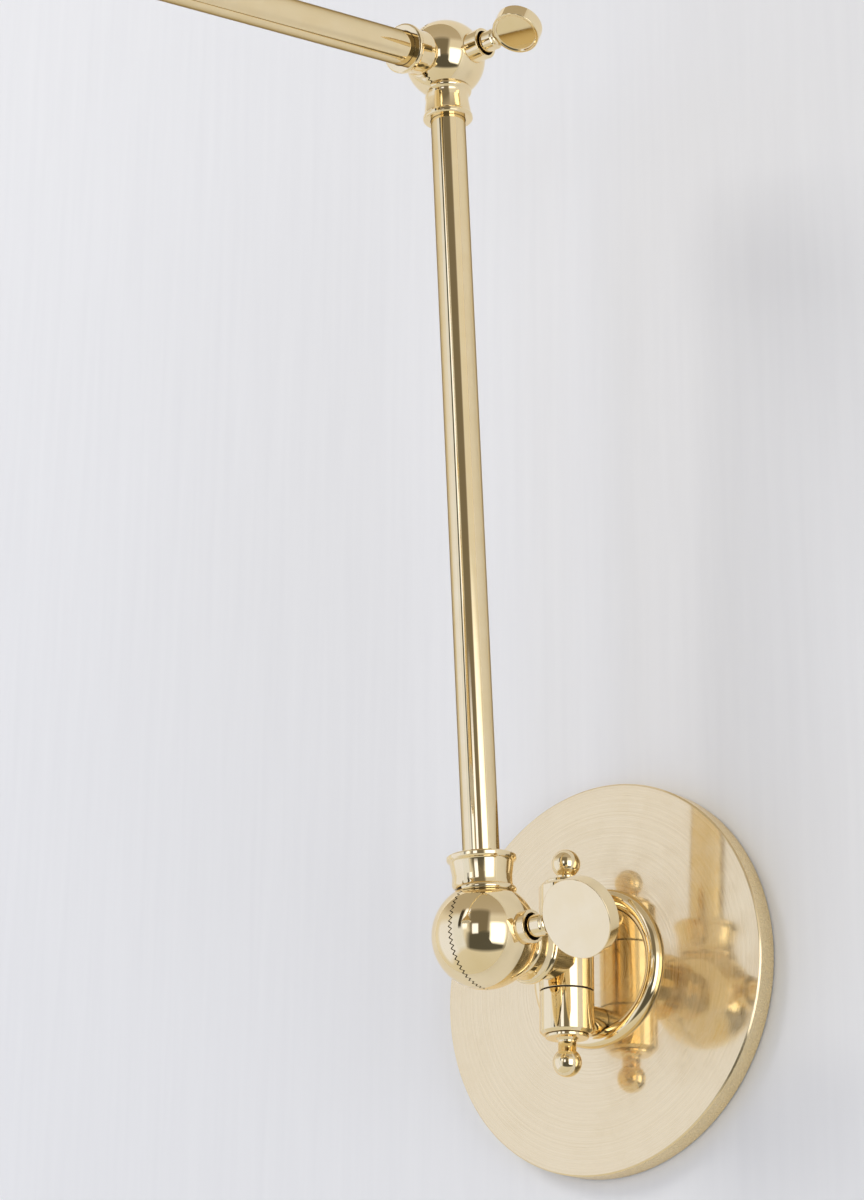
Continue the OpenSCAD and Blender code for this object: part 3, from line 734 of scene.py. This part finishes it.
def lamp_head():
    """Socket cup, shade, lock ring, lampholder and bulb. Heights run down from the head's knuckle."""
    place = frame_along(HEAD, -Z)
    low, high = box("socket_cup")
    cup_r = high.x
    cup_end = HEAD.z - low.z
    cup_top = 24.62
    points = outline([
        (2.8, cup_top - 7.6), (6.35, cup_top - 7.6), (6.35, cup_top), (9, cup_top, 0.5),
        (9.2, cup_top + 3, 1.5),
        (10.9, cup_top + 5.4, 3.0), (cup_r - 2.0, cup_top + 9.6, 4.0), (cup_r, cup_top + 13, 2.5),
        (cup_r, cup_top + 16, 0.2), (cup_r, cup_end, 0.3), (cup_r - 1.2, cup_end, 0.2),
        (cup_r - 1.2, cup_top + 14, 1.0), (9, cup_top + 9, 1.0), (2.8, cup_top + 6)])
    made = lathe("socket_cup_shell", points, place, [brass], 224)
    piece(made, "head", "polished_brass", "socket_cup")
    shade(place)
    low, high = box("shade_ring")
    ring_r = high.x
    start, end = HEAD.z - high.z, HEAD.z - low.z
    bore = 17.25
    points = outline([(bore, start), (ring_r, start, 0.2), (ring_r, end, 0.6), (bore, end, 0.3)])
    made = lathe("shade_lock_ring", points, place, [brass], 192)
    piece(made, "head", "polished_brass", "shade_ring")
    low, high = box("lampholder")
    holder_r = high.x
    start, end = HEAD.z - high.z, HEAD.z - low.z
    points = outline([(0, start), (holder_r, start, 0.6), (holder_r, end - 9.1, 0.3), (17.2, end - 9.1),
                      (17.2, end, 0.8), (13.65, end, 0.6), (13.65, start + 5.6, 0.3), (0, start + 5.6)])
    porcelain = plain_coat("glazed porcelain", (0.84, 0.83, 0.79, 1), (0.90, 0.89, 0.86, 1), 0.16, 90.0,
                           coat=0.6)
    made = lathe("lampholder_body", points, place, [porcelain], 192)
    piece(made, "head", "porcelain", "lampholder")
    bulb(place)


def shade(place):
    """The spun cone and the white enamel that lines it. A place on its slanted side is given by how far out
    it lies from the line through the bead's centre, and how far up that line."""
    low, high = box("shade")
    bead_r, top_r, hole_r, wall = 1.5, 24.0, 17.5, 0.8
    top_z, mouth_z = HEAD.z - high.z, HEAD.z - low.z
    bead = Vector((high.x - bead_r, mouth_z - bead_r))
    up = (Vector((top_r - 0.57, top_z)) - bead).normalized()
    out = Vector((-up.y, up.x))

    def on_side(offset, along):
        return tuple(bead + out * offset + up * along)

    def at_height(offset, z):
        return on_side(offset, (z - bead.y - out.y * offset) / up.y)

    rim = []
    first = math.atan2(*(Vector(on_side(0.5, 1.414)) - bead).yx)
    sweep, rows = math.radians(329), 32
    for k in range(rows + 1):
        a = first + sweep * k / rows
        rim.append((bead.x + bead_r * math.cos(a), bead.y + bead_r * math.sin(a), math.cos(a), math.sin(a)))
    shell = outline([(hole_r, top_z), (*at_height(0.5, top_z), 1.2)] + rim
                    + [(*at_height(0.5 - wall, top_z + wall), 0.6), (hole_r, top_z + wall)])
    made = lathe("shade_shell", shell, place, [brass], 320)
    piece(made, "head", "polished_brass", "shade")
    lining_r, skin = 21.3, 0.01
    under, start = 0.5 - skin - wall, top_z + wall + skin
    lining = outline([(lining_r, start), (*at_height(under, start), 0.6), on_side(under, 1.6),
                      on_side(-0.5, 1.6), (*at_height(-0.5, top_z + 1), 0.5), (lining_r, top_z + 1)])
    enamel = plain_coat("white enamel", (0.83, 0.825, 0.80, 1), (0.87, 0.865, 0.845, 1), 0.32, 60.0, coat=0.3)
    made = lathe("shade_lining", lining, place, [enamel], 320)
    piece(made, "head", "white_enamel", "shade")


def bulb(place):
    low, high = box("bulb_glass")
    globe_r = high.x
    neck_z, end_z = HEAD.z - high.z, HEAD.z - low.z
    centre = end_z - globe_r
    wall, neck_r, start = 0.8, 12.9, -47
    outer = ball_arc(globe_r, start, 90, 48, centre)
    inner = ball_arc(globe_r - wall, 90, start, 48, centre, -1)
    points = outline([(neck_r - wall, neck_z), (neck_r, neck_z, 0.3), (neck_r + 0.1, neck_z + 3, 4)]
                     + outer + inner + [(neck_r + 0.1 - wall, neck_z + 3.2, 3)])
    made = lathe("bulb_globe", points, place, [frosted_glass()], 160)
    piece(made, "head", "bulb_glass", "bulb_glass")


# ---------------------------------------------------------------- CAD pieces that show as they are


def repaint(material, slot, *names):
    for name in names:
        nodes[name].data.materials.clear()
        nodes[name].data.materials.append(material)


def hidden_pieces():
    zinc = plain_metal("zinc plate", (0.50, 0.51, 0.54, 1), (0.66, 0.67, 0.69, 1), 0.36)
    repaint(zinc, "zinc_steel", "wall_bracket", "grub_screws", "stud_nuts")
    green = plain_metal("green screw", (0.10, 0.26, 0.12, 1), (0.16, 0.36, 0.18, 1), 0.34)
    repaint(green, "green_screw", "earth_screw")
    fibre = plain_coat("dark fibre", (0.018, 0.014, 0.010, 1), (0.05, 0.04, 0.028, 1), 0.7, 300.0)
    repaint(fibre, "dark_washer", "swivel_washers")
    raw = plain_metal("raw brass", (0.60, 0.46, 0.24, 1), (0.74, 0.58, 0.33, 1), 0.3)
    repaint(raw, "polished_brass", "pivot_tube")
    sheath = plain_coat("lead sheath", (0.62, 0.50, 0.30, 1), (0.74, 0.62, 0.40, 1), 0.5, 260.0, 0.00003)
    repaint(sheath, "lead_sheath", "supply_lead", "stub_lead", "lower_lead", "upper_lead", "head_lead")
    nickel = plain_metal("bright nickel", (0.66, 0.64, 0.60, 1), (0.76, 0.745, 0.71, 1), 0.2)
    repaint(nickel, "nickel", "screw_shell", "centre_contact", "bulb_cap")


# ---------------------------------------------------------------- wall, light and camera


def card(name, azimuth, elevation, distance, width, height, colour, power):
    """A glowing card with soft edges that faces the lamp. The camera doesn't see it."""
    a, e = math.radians(azimuth), math.radians(elevation)
    toward = Vector((math.sin(a) * math.cos(e), -math.cos(a) * math.cos(e), math.sin(e)))
    place = frame_along(toward * distance, -toward, Z.cross(-toward))
    rows = 12
    spots = [(i / rows * 2 - 1, k / rows * 2 - 1) for k in range(rows + 1) for i in range(rows + 1)]
    corners = [k * (rows + 1) + i for k in range(rows) for i in range(rows)]
    mesh = bpy.data.meshes.new(name)
    mesh.from_pydata([place @ Vector((u * width / 2, v * height / 2, 0)) for u, v in spots], [],
                     [(c, c + 1, c + rows + 2, c + rows + 1) for c in corners])
    shares = [min(1.0, 3.2 * (1 - abs(u))) * min(1.0, 3.2 * (1 - abs(v))) for u, v in spots]
    mesh.attributes.new("glow", "FLOAT", "POINT").data.foreach_set("value", shares)
    material = bpy.data.materials.new(name)
    material.use_nodes = True
    tree = material.node_tree
    tree.nodes.clear()
    glow = tree.nodes.new("ShaderNodeEmission")
    glow.inputs["Color"].default_value = (*colour, 1)
    glow.inputs["Strength"].default_value = power
    share = tree.nodes.new("ShaderNodeAttribute")
    share.attribute_name = "glow"
    mixed = tree.nodes.new("ShaderNodeMixShader")
    tree.links.new(share.outputs["Fac"], mixed.inputs[0])
    tree.links.new(tree.nodes.new("ShaderNodeBsdfTransparent").outputs[0], mixed.inputs[1])
    tree.links.new(glow.outputs[0], mixed.inputs[2])
    tree.links.new(mixed.outputs[0], tree.nodes.new("ShaderNodeOutputMaterial").inputs["Surface"])
    mesh.materials.append(material)
    made = bpy.data.objects.new(name, mesh)
    bpy.context.scene.collection.objects.link(made)
    made.visible_camera = False
    made.visible_shadow = False


def lamp(name, place, size, power):
    """A soft light that brightens the wall and doesn't show in the brass."""
    made = bpy.data.objects.new(name, bpy.data.lights.new(name, "AREA"))
    made.data.size = size
    made.data.energy = power
    made.location = place
    made.rotation_euler = (-Vector(place)).to_track_quat("-Z", "Y").to_euler()
    made.visible_glossy = False
    bpy.context.scene.collection.objects.link(made)


def room():
    """The wall, and the room that the brass reflects. A card has an azimuth, elevation, distance, width
    and height, a colour and a power."""
    wall = bpy.data.meshes.new("wall")
    wall.from_pydata([(-4, 0.0003, -3), (4, 0.0003, -3), (4, 0.0003, 3), (-4, 0.0003, 3)], [], [(0, 1, 2, 3)])
    wall.materials.append(wall_paint())
    made = bpy.data.objects.new("wall", wall)
    bpy.context.scene.collection.objects.link(made)
    card("dark side", 42, -24, 2.1, 4.2, 1.9, (1.0, 0.97, 0.85), 0.10)
    card("dark post", 27, 17, 2.15, 1.9, 2.6, (1.0, 0.88, 0.68), 0.20)
    card("window", 67, -5, 1.95, 1.35, 1.75, (0.96, 1.0, 1.10), 2.3)
    card("small window", 19, 3, 1.95, 0.50, 0.80, (0.94, 1.0, 1.25), 1.5)
    card("pale door", -22, 0, 2.2, 1.5, 3.2, (0.92, 1.0, 1.22), 0.88)
    card("door gap", -15, 25, 2.1, 0.30, 1.5, (1.0, 0.9, 0.7), 0.05)
    card("lit edge", -3, 24, 2.05, 0.42, 1.7, (0.94, 1.0, 1.22), 1.5)
    card("bright side", -52, -6, 2.0, 2.0, 2.6, (0.93, 1.0, 1.26), 0.93)
    lamp("upper left light", (-1.3, -1.7, 1.5), 0.8, 16.0)


def world():
    """Pale walls all round, with a browner floor and ceiling."""
    made = bpy.data.worlds.new("room light")
    bpy.context.scene.world = made
    made.use_nodes = True
    tree = made.node_tree
    where = tree.nodes.new("ShaderNodeTexCoord").outputs["Generated"]
    parts = tree.nodes.new("ShaderNodeSeparateXYZ")
    tree.links.new(where, parts.inputs[0])
    ramp = tree.nodes.new("ShaderNodeValToRGB")
    rise = tree.nodes.new("ShaderNodeMapRange")
    rise.inputs["From Min"].default_value = -1.0
    tree.links.new(parts.outputs[2], rise.inputs["Value"])
    tree.links.new(rise.outputs[0], ramp.inputs[0])
    stops = ramp.color_ramp.elements
    stops[0].position, stops[0].color = 0.0, (0.68, 0.66, 0.59, 1)
    stops[1].position, stops[1].color = 1.0, (0.46, 0.41, 0.33, 1)
    for at, colour in ((0.35, (0.76, 0.74, 0.70, 1)), (0.55, (0.80, 0.79, 0.77, 1)),
                       (0.74, (0.76, 0.74, 0.72, 1)), (0.82, (0.50, 0.45, 0.39, 1))):
        stops.new(at).color = colour
    tree.links.new(ramp.outputs[0], tree.nodes["Background"].inputs["Color"])
    tree.nodes["Background"].inputs["Strength"].default_value = 1.0


def camera():
    """The viewpoint, low and to the right of the plate."""
    made = bpy.data.objects.new("camera", bpy.data.cameras.new("camera"))
    bpy.context.scene.collection.objects.link(made)
    yaw, pitch, roll = (math.radians(a) for a in (41.419, 19.963, 0.452))
    aimed = Matrix.Rotation(yaw, 4, "Z") @ Matrix.Rotation(math.pi / 2 + pitch, 4, "X")
    turn = aimed @ Matrix.Rotation(roll, 4, "Z")
    made.matrix_world = Matrix.Translation((0.67824, -0.86716, -0.25609)) @ turn
    made.data.sensor_width = 36
    made.data.lens = 94.89
    made.data.clip_start = 0.05
    bpy.context.scene.camera = made


wall_plate()
plate_trim()
studs()
sleeve("top_sleeve", "sleeve_top", "root", 1)
sleeve("bottom_sleeve", "sleeve_bottom", "root", -1)
sleeve("turning_sleeve", "swivel_sleeve", "swivel", 0)
finials()
knuckles()
lamp_head()
hidden_pieces()
room()
world()
camera()
bpy.context.scene.view_settings.view_transform = "Standard"
bpy.context.scene.view_settings.look = "None"
